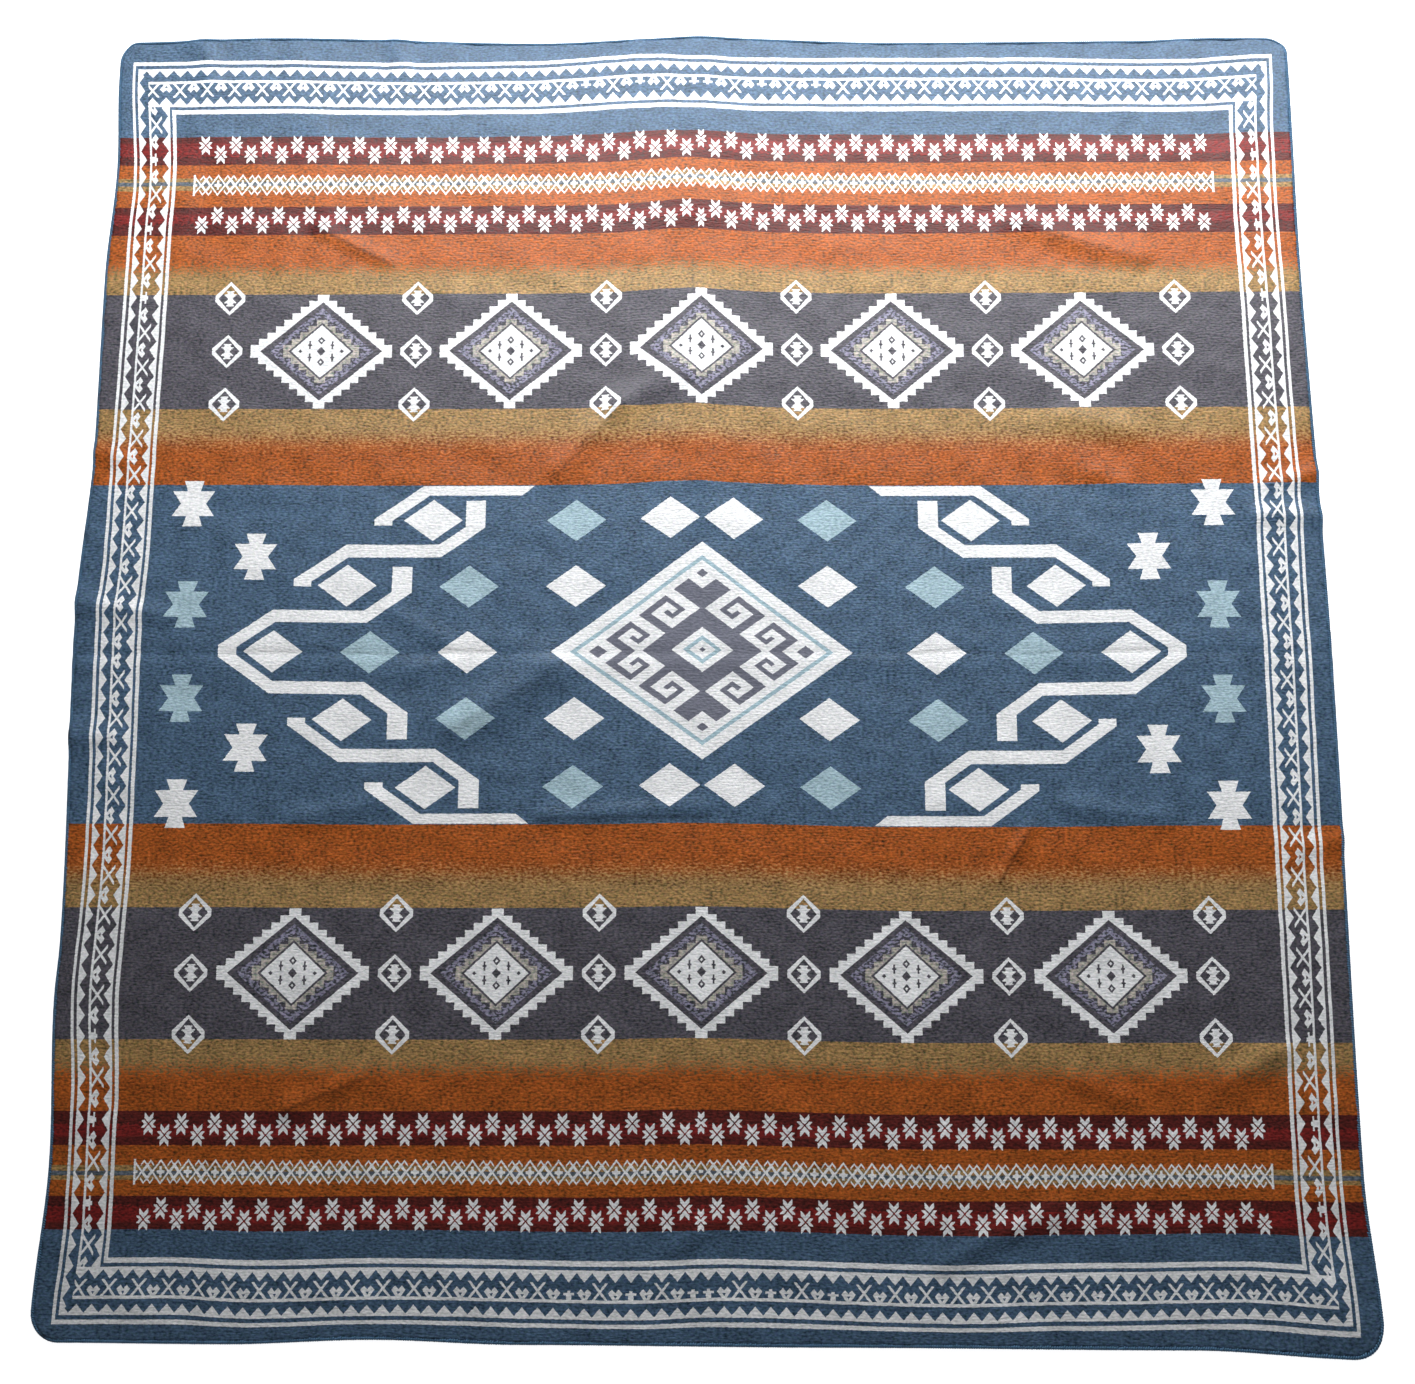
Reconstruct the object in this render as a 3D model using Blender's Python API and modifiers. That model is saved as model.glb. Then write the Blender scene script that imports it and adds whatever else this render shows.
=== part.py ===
"""A large woven blanket, spread out on a level surface.

The cloth is one sheet with rounded corners. It is built as a grid whose lines crowd where the shape
needs them: round the corners and beside the fold across the middle. Each grid point has a place on the
flat cloth, which is pushed sideways by the waves of the four edges and lifted by the creases. The sheet
is the underside, and Solidify gives it its thickness upwards.

The tables give places from the middle of the pattern, which lies a little nearer the foot than the head.
The finished sheet is then centred.

Metres, +Z up, +X to the right and +Y to the head of the pattern. The origin is under the middle.
"""

import math
from collections import namedtuple

import bpy
import numpy as np

# Flat cloth
WIDTH = 2.100
HEAD_REACH = 1.120
FOOT_REACH = 1.102
THICKNESS = 0.003
CORNER_RADIUS = 0.045

# Grid lines
CORNER_STEPS = 3
FIELD_STEPS = 20
CREASE_SIDE_STEPS = (0.009, 0.018, 0.034, 0.060)

# How far in from an edge its waves reach
WAVE_REACH = 0.350

# The least height that counts as lifted, so that the rest of the cloth lies dead flat
LIE_FLAT = 0.00025

# The outline: where along an edge, and how far out from the straight edge the cloth reaches there
Wave = namedtuple("Wave", "along out")

HEAD_WAVES = (
    Wave(-1.02, -0.001),
    Wave(-0.78, 0.006),
    Wave(-0.28, -0.008),
    Wave(-0.03, 0.002),
    Wave(0.36, -0.011),
    Wave(0.77, -0.010),
    Wave(0.91, -0.005),
    Wave(1.04, -0.006),
)
FOOT_WAVES = (
    Wave(-1.04, -0.009),
    Wave(-0.74, -0.007),
    Wave(-0.51, -0.014),
    Wave(-0.28, -0.007),
    Wave(0.20, -0.004),
    Wave(0.76, -0.001),
    Wave(1.03, 0.012),
)
LEFT_WAVES = (
    Wave(-1.07, -0.005),
    Wave(-0.83, -0.017),
    Wave(-0.57, -0.006),
    Wave(-0.48, -0.009),
    Wave(0.08, 0.005),
    Wave(0.35, -0.007),
    Wave(0.68, -0.004),
    Wave(0.87, -0.012),
    Wave(1.05, -0.004),
)
RIGHT_WAVES = (
    Wave(-1.06, 0.004),
    Wave(-0.84, -0.009),
    Wave(0.04, 0.001),
    Wave(0.70, -0.005),
    Wave(1.06, -0.001),
)

# The fold mark across the middle: a faint trough between two low shoulders, deepest at the left
MIDDLE_FOLD_Y = -0.005
MIDDLE_FOLD_SHOULDER = 0.018
MIDDLE_FOLD_LEFT = 0.0014
MIDDLE_FOLD_RIGHT = 0.0012

# The creases: soft ridges from start to end, with their height and the reach of one side
Crease = namedtuple("Crease", "name start end height reach")

CREASES = (
    Crease("centre ridge at the head", (0.00, 1.11), (-0.02, 0.80), 0.0050, 0.050),
    Crease("centre ridge below", (-0.01, 0.62), (0.00, 0.30), 0.0030, 0.022),
    Crease("upper left nick", (-0.67, 0.757), (-0.55, 0.694), 0.0040, 0.014),
    Crease("upper right fold", (0.55, 0.765), (0.76, 0.697), 0.0060, 0.024),
    Crease("long diagonal, lower half", (-0.24, 0.315), (-0.14, 0.430), 0.0050, 0.026),
    Crease("long diagonal, upper half", (-0.14, 0.430), (-0.03, 0.492), 0.0045, 0.026),
    Crease("left belly", (-0.40, -0.125), (-0.25, -0.035), 0.0090, 0.036),
    Crease("left fan, outer ray", (-0.53, 0.070), (-0.42, 0.012), 0.0022, 0.013),
    Crease("left fan, inner ray", (-0.52, -0.045), (-0.42, -0.020), 0.0022, 0.013),
    Crease("foot side, far left", (-0.65, -0.280), (-0.53, -0.255), 0.0045, 0.020),
    Crease("foot side, middle", (-0.26, -0.278), (0.00, -0.262), 0.0035, 0.014),
    Crease("right tick", (0.540, -0.295), (0.488, -0.380), 0.0040, 0.013),
    Crease("right upper dimple", (0.62, 0.405), (0.73, 0.385), 0.0050, 0.026),
    Crease("right lower dimple", (0.66, 0.305), (0.72, 0.285), 0.0035, 0.018),
    Crease("right foot fold", (0.60, -0.262), (0.76, -0.282), 0.0035, 0.018),
    Crease("lower left nick", (-0.66, -0.742), (-0.55, -0.698), 0.0040, 0.016),
    Crease("lower right bend", (0.84, -0.700), (0.92, -0.655), 0.0060, 0.024),
    Crease("lower right nick", (0.60, -0.700), (0.68, -0.728), 0.0035, 0.016),
    Crease("foot diagonal", (0.38, -0.972), (0.56, -0.895), 0.0045, 0.020),
    Crease("foot centre", (-0.04, -0.955), (0.00, -0.925), 0.0040, 0.016),
    Crease("right edge, first ripple", (1.06, 0.305), (0.97, 0.285), 0.0055, 0.018),
    Crease("right edge, second ripple", (1.06, 0.225), (0.95, 0.232), 0.0060, 0.018),
    Crease("right edge, third ripple", (1.06, -0.315), (0.98, -0.330), 0.0040, 0.018),
    Crease("left edge, first ripple", (-1.06, 0.350), (-0.99, 0.340), 0.0040, 0.018),
    Crease("left edge, second ripple", (-1.06, 0.085), (-0.90, 0.060), 0.0060, 0.020),
    Crease("left edge, third ripple", (-1.06, -0.145), (-0.98, -0.140), 0.0045, 0.020),
    Crease("head edge, left ripple", (-0.90, 1.13), (-0.88, 1.05), 0.0040, 0.024),
    Crease("head edge, second ripple", (-0.55, 1.13), (-0.53, 1.06), 0.0040, 0.024),
    Crease("foot corner lift", (0.99, -1.02), (1.06, -1.12), 0.0060, 0.040),
)

CLOTH_COLOUR = (0.10, 0.16, 0.25, 1.0)
CLOTH_ROUGHNESS = 0.95


def clear_scene():
    """Remove every object of the open scene."""
    for old in list(bpy.data.objects):
        bpy.data.objects.remove(old, do_unlink=True)


def ease(share):
    """A smooth step from 0 to 1."""
    share = min(max(share, 0.0), 1.0)
    return share * share * (3.0 - 2.0 * share)


def grid_lines(low, high, middle=None):
    """Where the grid lines run: close in the corners, even between, and close beside a middle fold."""
    corner = [CORNER_RADIUS * step / CORNER_STEPS for step in range(CORNER_STEPS + 1)]
    lines = {low + inwards for inwards in corner} | {high - inwards for inwards in corner}
    field_low = low + CORNER_RADIUS
    field_high = high - CORNER_RADIUS
    if middle is None:
        lines |= set(np.linspace(field_low, field_high, 2 * FIELD_STEPS + 1).tolist())
    else:
        last = CREASE_SIDE_STEPS[-1]
        lines |= {middle} | {middle + side * step for step in CREASE_SIDE_STEPS for side in (-1, 1)}
        lines |= set(np.linspace(field_low, middle - last, FIELD_STEPS).tolist())
        lines |= set(np.linspace(middle + last, field_high, FIELD_STEPS).tolist())
    return sorted({round(place, 6) for place in lines})


def end_reach(y):
    """How far the flat cloth reaches from the middle of the pattern, towards the end that a point is near."""
    return HEAD_REACH if y > 0.0 else FOOT_REACH


def round_corner(x, y):
    """Draw the square corners of the grid onto a quarter circle."""
    corner_x = WIDTH / 2 - CORNER_RADIUS
    corner_y = end_reach(y) - CORNER_RADIUS
    over_x = abs(x) - corner_x
    over_y = abs(y) - corner_y
    if over_x <= 0.0 or over_y <= 0.0:
        return x, y
    shrink = max(over_x, over_y) / math.hypot(over_x, over_y)
    return (
        math.copysign(corner_x + over_x * shrink, x),
        math.copysign(corner_y + over_y * shrink, y),
    )


def wave_at(waves, along):
    """How far out an edge reaches, eased from one wave of its table to the next."""
    if along <= waves[0].along:
        return waves[0].out
    for before, after in zip(waves, waves[1:]):
        if along <= after.along:
            share = (along - before.along) / (after.along - before.along)
            return before.out + (after.out - before.out) * ease(share)
    return waves[-1].out


def edge_share(inwards):
    """How much a point follows its edge: 1 on the edge and 0 beyond the reach of the waves."""
    return ease(1.0 - inwards / WAVE_REACH)


def push_sideways(x, y):
    """Move a point of the flat cloth to where it lies, within the plane of the cloth."""
    side_waves = RIGHT_WAVES if x > 0.0 else LEFT_WAVES
    end_waves = HEAD_WAVES if y > 0.0 else FOOT_WAVES
    push_x = wave_at(side_waves, y) * edge_share(WIDTH / 2 - abs(x))
    push_y = wave_at(end_waves, x) * edge_share(end_reach(y) - abs(y))
    return x + math.copysign(1.0, x) * push_x, y + math.copysign(1.0, y) * push_y


def crease_height(crease, x, y):
    """The height of one crease: a bell across it, which dies away past its two ends."""
    run_x = crease.end[0] - crease.start[0]
    run_y = crease.end[1] - crease.start[1]
    length = math.hypot(run_x, run_y)
    along = ((x - crease.start[0]) * run_x + (y - crease.start[1]) * run_y) / length
    across = ((x - crease.start[0]) * run_y - (y - crease.start[1]) * run_x) / length
    past = max(-along, along - length, 0.0)
    return crease.height * math.exp(-((across / crease.reach) ** 2) - (past / crease.reach) ** 2)


def middle_fold_height(x, y):
    """The trough across the middle, between its two shoulders."""
    share = ease(x / WIDTH + 0.5)
    height = MIDDLE_FOLD_LEFT + (MIDDLE_FOLD_RIGHT - MIDDLE_FOLD_LEFT) * share
    away = abs(y - MIDDLE_FOLD_Y) / MIDDLE_FOLD_SHOULDER
    return height * away * math.exp(0.5 - 0.5 * away * away)


def height_at(x, y):
    """How high the underside of the cloth lies at a point."""
    height = middle_fold_height(x, y) + sum(crease_height(crease, x, y) for crease in CREASES)
    return max(height - LIE_FLAT, 0.0)


def cloth_material():
    """Brushed wool in the blue of the ground."""
    material = bpy.data.materials.new("blanket wool")
    material.use_nodes = True
    shader = material.node_tree.nodes["Principled BSDF"]
    shader.inputs["Base Color"].default_value = CLOTH_COLOUR
    shader.inputs["Roughness"].default_value = CLOTH_ROUGHNESS
    shader.inputs["Metallic"].default_value = 0.0
    return material


def centre_on_origin(mesh):
    """Put the middle of the sheet's outline over the origin, with its lowest point at zero."""
    places = np.array([vertex.co[:] for vertex in mesh.vertices])
    low = places.min(axis=0)
    high = places.max(axis=0)
    shift = (-(low[0] + high[0]) / 2, -(low[1] + high[1]) / 2, -low[2])
    for vertex in mesh.vertices:
        vertex.co.x += shift[0]
        vertex.co.y += shift[1]
        vertex.co.z += shift[2]


def add_blanket(collection):
    """The whole blanket: a grid laid out as the cloth lies, thickened upwards."""
    columns = grid_lines(-WIDTH / 2, WIDTH / 2)
    rows = grid_lines(-FOOT_REACH, HEAD_REACH, MIDDLE_FOLD_Y)
    bpy.ops.mesh.primitive_grid_add(
        x_subdivisions=len(columns) - 1,
        y_subdivisions=len(rows) - 1,
        size=1.0,
    )
    blanket = bpy.context.object
    blanket.name = "blanket"
    blanket.data.name = "blanket"
    for vertex in blanket.data.vertices:
        column = round((vertex.co.x + 0.5) * (len(columns) - 1))
        row = round((vertex.co.y + 0.5) * (len(rows) - 1))
        flat_x, flat_y = round_corner(columns[column], rows[row])
        x, y = push_sideways(flat_x, flat_y)
        vertex.co = (x, y, height_at(x, y))
    centre_on_origin(blanket.data)

    wall = blanket.modifiers.new("thickness", "SOLIDIFY")
    wall.thickness = THICKNESS
    wall.offset = 1.0
    wall.use_even_offset = True

    blanket.data.materials.append(cloth_material())
    for other in list(blanket.users_collection):
        other.objects.unlink(blanket)
    collection.objects.link(blanket)
    return blanket


def main():
    clear_scene()
    collection = bpy.data.collections.new("blanket")
    bpy.context.scene.collection.children.link(collection)
    add_blanket(collection)


main()
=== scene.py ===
"""A large woven blanket, spread out flat, with its pattern drawn in shader nodes.

The cloth is one closed sheet that lies on the soft creases of the frame's solid. An attribute holds each
point's place on the flat cloth, in metres from the middle of the pattern. The pattern is worked out from
that place in millimetres: stripes, star bands, a lozenge chain, rows of medallions, a middle field and a
border, all mirrored left to right and head to foot. The edge is overcast with yarn.
"""

import math
from collections import namedtuple

import bpy
import numpy as np
from bpy.props import FloatProperty, FloatVectorProperty, IntProperty, PointerProperty
from mathutils import Matrix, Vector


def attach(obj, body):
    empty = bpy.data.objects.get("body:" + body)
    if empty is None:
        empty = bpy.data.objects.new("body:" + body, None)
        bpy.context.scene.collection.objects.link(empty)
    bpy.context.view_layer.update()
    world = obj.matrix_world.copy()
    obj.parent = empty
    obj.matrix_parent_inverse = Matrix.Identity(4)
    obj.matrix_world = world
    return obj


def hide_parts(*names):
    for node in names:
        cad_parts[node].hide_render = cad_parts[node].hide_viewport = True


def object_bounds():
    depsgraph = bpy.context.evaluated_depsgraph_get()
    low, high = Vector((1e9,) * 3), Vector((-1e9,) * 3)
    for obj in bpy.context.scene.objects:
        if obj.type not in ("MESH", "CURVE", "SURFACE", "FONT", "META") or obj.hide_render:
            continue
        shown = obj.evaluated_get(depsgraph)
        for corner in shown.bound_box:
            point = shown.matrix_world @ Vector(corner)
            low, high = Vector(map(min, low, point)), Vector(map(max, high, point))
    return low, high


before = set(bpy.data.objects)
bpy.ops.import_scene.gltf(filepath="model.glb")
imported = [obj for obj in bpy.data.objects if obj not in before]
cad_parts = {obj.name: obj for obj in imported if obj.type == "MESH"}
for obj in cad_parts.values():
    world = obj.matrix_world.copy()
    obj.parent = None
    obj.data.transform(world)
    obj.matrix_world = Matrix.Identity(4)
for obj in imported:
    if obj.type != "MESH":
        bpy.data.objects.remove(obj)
CAD_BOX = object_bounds()

bl_info = {
    "name": "Woven blanket",
    "version": (1, 0, 0),
    "blender": (4, 5, 0),
    "location": "3D View > Sidebar > Blanket",
    "description": "Weaves a patterned blanket that lies flat, overcasts its edge and lights it",
    "category": "Object",
}

# Flat cloth, in metres. The pattern's middle lies a little nearer the foot than the head.
WIDTH = 2.100
HEAD_REACH = 1.120
FOOT_REACH = 1.102
THICKNESS = 0.003
CORNER_RADIUS = 0.045

# How far in the waves of an edge reach, and how far in from it the threads lie that run evenly
WAVE_REACH = 0.350
HEM = 0.040
LIE_FLAT = 0.00025

# Each side of the cloth: how far out its edge lies, and how far out the first threads of its border lie.
# Both are pairs of a place along the side and the distance outwards there.
Side = namedtuple("Side", "edge threads")
HEAD = Side(
    edge=(
        (-1.02, -0.001), (-0.78, 0.006), (-0.28, -0.008), (-0.03, 0.002), (0.36, -0.011), (0.77, -0.010),
        (0.91, -0.005), (1.04, -0.006),
    ),
    threads=(
        (-1.00, 0.004), (-0.78, 0.0065), (-0.50, -0.001), (-0.32, 0.001), (-0.085, 0.015), (0.00, 0.008),
        (0.20, 0.0045), (0.56, 0.003), (0.78, -0.002), (0.86, -0.002), (1.00, 0.007),
    ),
)
FOOT = Side(
    edge=(
        (-1.04, -0.009), (-0.74, -0.007), (-0.51, -0.014), (-0.28, -0.007), (0.20, -0.004), (0.76, -0.001),
        (1.03, 0.012),
    ),
    threads=(
        (-1.00, -0.0095), (-0.84, -0.0105), (-0.70, -0.0045), (-0.50, -0.0095), (-0.10, -0.003),
        (0.03, -0.008), (0.40, 0.001), (0.60, -0.0035), (0.84, -0.0075), (1.00, 0.002),
    ),
)
LEFT = Side(
    edge=(
        (-1.07, -0.005), (-0.83, -0.017), (-0.57, -0.006), (-0.48, -0.009), (0.08, 0.005), (0.35, -0.007),
        (0.68, -0.004), (0.87, -0.012), (1.05, -0.004),
    ),
    threads=(
        (-1.08, -0.005), (-0.92, -0.0145), (-0.74, -0.012), (-0.56, 0.0005), (-0.36, -0.006), (0.06, 0.002),
        (0.18, -0.003), (0.75, -0.0065), (0.84, -0.0095), (1.06, 0.0065),
    ),
)
RIGHT = Side(
    edge=(
        (-1.06, 0.004), (-0.84, -0.009), (0.04, 0.001), (0.70, -0.005), (1.06, -0.001),
    ),
    threads=(
        (-1.06, -0.001), (-0.84, -0.010), (-0.40, -0.0055), (0.05, 0.000), (0.21, 0.001), (0.60, -0.001),
        (0.78, -0.004), (0.92, -0.002), (1.06, 0.005),
    ),
)

MIDDLE_FOLD_Y = -0.005
MIDDLE_FOLD_SHOULDER = 0.018
MIDDLE_FOLD_LEFT = 0.0014
MIDDLE_FOLD_RIGHT = 0.0012

# Soft ridges from start to end, and how strong a line of painted shade each has. Those without height are
# only painted shade.
Crease = namedtuple("Crease", "start end height reach dark")
CREASES = (
    Crease((0.00, 1.11), (-0.02, 0.80), 0.0050, 0.050, 0.00),  # centre ridge at the head
    Crease((-0.01, 0.62), (0.00, 0.30), 0.0030, 0.022, 0.00),  # centre ridge below
    Crease((-0.67, 0.757), (-0.55, 0.694), 0.0040, 0.014, 1.00),  # upper left nick
    Crease((0.55, 0.765), (0.76, 0.697), 0.0060, 0.024, 0.30),  # upper right fold
    Crease((-0.24, 0.315), (-0.14, 0.430), 0.0050, 0.026, 0.40),  # long diagonal, lower half
    Crease((-0.14, 0.430), (-0.03, 0.492), 0.0045, 0.026, 0.00),  # long diagonal, upper half
    Crease((-0.40, -0.125), (-0.25, -0.035), 0.0090, 0.036, 0.50),  # left belly
    Crease((-0.53, 0.070), (-0.42, 0.012), 0.0022, 0.013, 0.30),  # left fan, outer ray
    Crease((-0.52, -0.045), (-0.42, -0.020), 0.0022, 0.013, 0.30),  # left fan, inner ray
    Crease((-0.65, -0.280), (-0.53, -0.255), 0.0045, 0.020, 0.30),  # foot side, far left
    Crease((-0.26, -0.278), (0.00, -0.262), 0.0035, 0.014, 0.00),  # foot side, middle
    Crease((-0.26, -0.278), (0.00, -0.276), 0.0, 0.018, 0.80),  # foot side, shade
    Crease((0.540, -0.295), (0.488, -0.380), 0.0040, 0.013, 1.00),  # right tick
    Crease((0.62, 0.405), (0.73, 0.385), 0.0050, 0.026, 0.00),  # right upper dimple
    Crease((0.66, 0.305), (0.72, 0.285), 0.0035, 0.018, 0.00),  # right lower dimple
    Crease((0.60, -0.262), (0.76, -0.282), 0.0035, 0.018, 0.30),  # right foot fold
    Crease((-0.66, -0.742), (-0.55, -0.698), 0.0040, 0.016, 0.80),  # lower left nick
    Crease((0.84, -0.700), (0.92, -0.655), 0.0060, 0.024, 0.50),  # lower right bend
    Crease((0.60, -0.700), (0.68, -0.728), 0.0035, 0.016, 0.30),  # lower right nick
    Crease((0.38, -0.972), (0.56, -0.895), 0.0045, 0.020, 0.30),  # foot diagonal
    Crease((-0.04, -0.955), (0.00, -0.925), 0.0040, 0.016, 0.00),  # foot centre
    Crease((1.06, 0.305), (0.97, 0.285), 0.0055, 0.018, 0.30),  # right edge, first ripple
    Crease((1.06, 0.225), (0.95, 0.232), 0.0060, 0.018, 0.30),  # right edge, second ripple
    Crease((1.06, -0.315), (0.98, -0.330), 0.0040, 0.018, 0.00),  # right edge, third ripple
    Crease((-1.06, 0.350), (-0.99, 0.340), 0.0040, 0.018, 0.00),  # left edge, first ripple
    Crease((-1.06, 0.085), (-0.90, 0.060), 0.0060, 0.020, 0.30),  # left edge, second ripple
    Crease((-1.06, -0.145), (-0.98, -0.140), 0.0045, 0.020, 0.00),  # left edge, third ripple
    Crease((-0.90, 1.13), (-0.88, 1.05), 0.0040, 0.024, 0.00),  # head edge, left ripple
    Crease((-0.55, 1.13), (-0.53, 1.06), 0.0040, 0.024, 0.00),  # head edge, second ripple
    Crease((0.99, -1.02), (1.06, -1.12), 0.0060, 0.040, 0.00),  # foot corner lift
    # These rows have no height: they are only lines of painted shade along the middle fold.
    Crease((-0.76, 0.004), (-0.67, 0.001), 0.0, 0.015, 0.40),  # middle fold, shade 1
    Crease((-0.65, 0.011), (-0.60, 0.002), 0.0, 0.016, 0.60),  # middle fold, shade 2
    Crease((-0.58, -0.001), (-0.50, -0.006), 0.0, 0.014, 0.50),  # middle fold, shade 3
    Crease((-0.42, 0.004), (-0.36, 0.001), 0.0, 0.015, 0.45),  # middle fold, shade 4
    Crease((0.34, -0.006), (0.43, 0.004), 0.0, 0.013, 0.60),  # middle fold, shade 5
    Crease((0.45, -0.002), (0.49, -0.004), 0.0, 0.013, 0.60),  # middle fold, shade 6
    Crease((0.51, -0.008), (0.59, -0.002), 0.0, 0.013, 0.55),  # middle fold, shade 7
    Crease((0.62, -0.002), (0.75, 0.003), 0.0, 0.016, 0.60),  # middle fold, shade 8
)

# How the threads run inside the cloth: raised about the centre line and more so at the head, a little low
# on the right, sagging to the foot in the middle field, drawn in at both ends, and aside right of the middle.
# A pair that ends in FROM or TO says where this comes or goes, and over what length.
LIFT = (0.0025, 0.0095)
LIFT_FROM = (-0.25, 0.85)
LIFT_MIDDLE = -0.025
LIFT_REACH = 0.105
DROP = 0.004
DROP_FROM = (0.05, 0.30)
DROP_TILT = 0.3
DROP_TILT_REACH = 0.3
SAG = 0.0032
SAG_REACH = 0.48
SAG_TO = (0.52, 0.30)
ASIDE = 0.0028
ASIDE_FROM = (-0.25, 0.25)
ASIDE_TO = (0.45, 0.17)
ASIDE_REACH = 0.6
ENDS_INWARD = 0.0025
ENDS_INWARD_FROM = (0.40, 0.20)

# A crease's line of painted shade, darkening the colour where shade falls: how far it runs to the foot side
# and its half width, both as shares of the crease's reach, how dark it gets, how many half widths off it
# gives way to another line, and where there is none
SHADED_SIDE = 0.15
LINE_HALF = 0.35
PAINTED_SHADE_DARK = 0.42
LINE_GIVES_WAY = 4.0
NO_LINE = 9.0

# The slight unevenness of thick cloth: how many crossed waves, and their shortest and longest length
SWELL_WAVES = 14
SWELL_LENGTHS = (0.035, 0.14)
SWELL_SEED = 7

# The grid is drawn together beside the middle fold: by how much, how far off, and within what core
FOLD_PULL = 0.018
FOLD_PULL_REACH = 0.045
FOLD_PULL_CORE = 0.02

# An overcast loop: for each bend its share of the reach inwards, its height over the underside, its slant.
# Then its cross section, and how much the reach varies from loop to loop.
LOOP_BENDS = (
    (1.00, THICKNESS - 0.0004, -0.50),
    (0.72, THICKNESS + 0.0006, -0.30),
    (0.12, THICKNESS + 0.0007, 0.00),
    (-0.22, THICKNESS * 0.5, 0.20),
    (0.10, 0.0004, 0.40),
    (0.70, 0.0004, 0.50),
)
LOOP_SIDES = 5
LOOP_HALF_WIDE = 0.50
LOOP_HALF_THICK = 0.0007
LOOP_END_SHARE = 0.55
LOOP_CLEARANCE = 0.0002
LOOP_UNEVEN = 0.10
LOOP_SEED = 11

# How many points of each side show where the middle of the laid outline is
OUTLINE_POINTS = 400

# The camera stood over the foot half of the cloth and looked almost straight down
CAMERA_PLACE = (0.0314, -0.4312, 2.2649)
CAMERA_YAW = 3.2126
CAMERA_TILT = 9.0485
CAMERA_ROLL = -3.2898
CAMERA_LENS = 35.0
SENSOR_WIDTH = 36.0

# A broad window beyond the head lights the cloth, tilted by degrees about the X axis, and the floor glows
WINDOW_SIZE = (3.2, 1.0)
WINDOW_PLACE = (0.36, 1.85, 1.25)
WINDOW_TILT = -55.0
FLOOR_COLOUR = (0.86, 0.86, 0.86, 1.0)
FLOOR_ROUGHNESS = 0.9
FLOOR_GLOW = 0.90
FLOOR_BELOW = 0.0005

# Pattern sizes from here on are millimetres on the flat cloth, measured in one quarter of it.
# Stripes from the ends to the middle: where each starts, over what length it fades in, and its colour
Stripe = namedtuple("Stripe", "start fade colour")
STRIPES = (
    Stripe(932.0, 0.0, "Maroon"),
    Stripe(921.0, 3.0, "Red"),
    Stripe(896.0, 3.0, "Maroon"),
    Stripe(880.0, 0.0, "Orange"),
    Stripe(855.0, 0.0, "Olive"),
    Stripe(848.0, 0.0, "Slate"),
    Stripe(841.0, 0.0, "Olive"),
    Stripe(832.0, 0.0, "Orange"),
    Stripe(801.0, 0.0, "Maroon"),
    Stripe(788.0, 3.0, "Red"),
    Stripe(769.0, 3.0, "Maroon"),
    Stripe(748.0, 0.0, "Orange"),
    Stripe(683.0, 24.0, "Olive"),
    Stripe(637.0, 0.0, "Charcoal"),
    Stripe(425.0, 0.0, "Olive"),
    Stripe(371.0, 32.0, "Orange"),
    Stripe(289.0, 0.0, "Blue"),
)
GROUND_DYES = ("Blue", "Maroon", "Red", "Orange", "Olive", "Slate", "Charcoal")

# A fade of at most this length makes a ragged edge, and a longer one a soft change with rounded ends.
# Both are blurred by the flecks, whose reading from 0 to 1 becomes a blur from -2 to 2.
RAGGED_AT_MOST = 10.0
ROUNDED_ENDS = 0.2
BLUR = (4.0, -2.0)


def colour(name, description, default):
    """A colour that a user may change."""
    return FloatVectorProperty(
        name=name, description=description, subtype="COLOR", size=3, min=0.0, max=1.0, default=default
    )


def whole_number(name, description, default, least, most):
    """A whole number that a user may change."""
    return IntProperty(name=name, description=description, default=default, min=least, max=most)


def metres(name, description, default):
    """A length that a user may change."""
    return FloatProperty(name=name, description=description, default=default, unit="LENGTH")


class BlanketColours(bpy.types.PropertyGroup):
    """The dyed yarns."""

    blue: colour("Blue", "Ground of the middle field and of both ends", (0.060, 0.113, 0.188))
    orange: colour("Orange", "Broad warm stripes", (0.352, 0.083, 0.010))
    olive: colour("Olive", "Stripes that fade into the orange", (0.320, 0.195, 0.074))
    charcoal: colour("Charcoal", "Ground of the medallions", (0.079, 0.075, 0.093))
    maroon: colour("Maroon", "Outer stripes of the star bands", (0.088, 0.010, 0.008))
    red: colour("Red", "Middle stripe of the star bands", (0.168, 0.011, 0.010))
    slate: colour("Slate", "Thin stripe behind the lozenge chain", (0.105, 0.130, 0.160))
    white: colour("White", "Figures and border", (0.850, 0.865, 0.885))
    pale: colour("Pale blue", "Second colour of the middle field's figures", (0.360, 0.510, 0.585))
    lavender: colour("Lavender", "Band inside the medallions", (0.215, 0.215, 0.300))
    grey: colour("Warm grey", "Stepped band inside the medallions", (0.400, 0.380, 0.345))
    ink: colour("Ink", "Dark figure of the centre diamond", (0.150, 0.158, 0.205))
    edge: colour("Edge yarn", "Yarn that overcasts the edge", (0.062, 0.150, 0.260))


class BlanketSizes(bpy.types.PropertyGroup):
    """How finely the cloth and its edge are made."""

    columns: whole_number("Columns", "Grid columns across the cloth", 272, 40, 320)
    rows: whole_number("Rows", "Grid rows along the cloth", 288, 40, 340)
    coarse: whole_number("Underside share", "Upper steps to each step below", 4, 1, 8)
    swell: metres("Swell", "Height of the cloth's slight unevenness", 0.0007)
    stitch_pitch: metres("Stitch pitch", "Distance between overcast stitches", 0.0037)
    stitch_depth: metres("Stitch depth", "How far in a stitch reaches", 0.0044)


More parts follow.
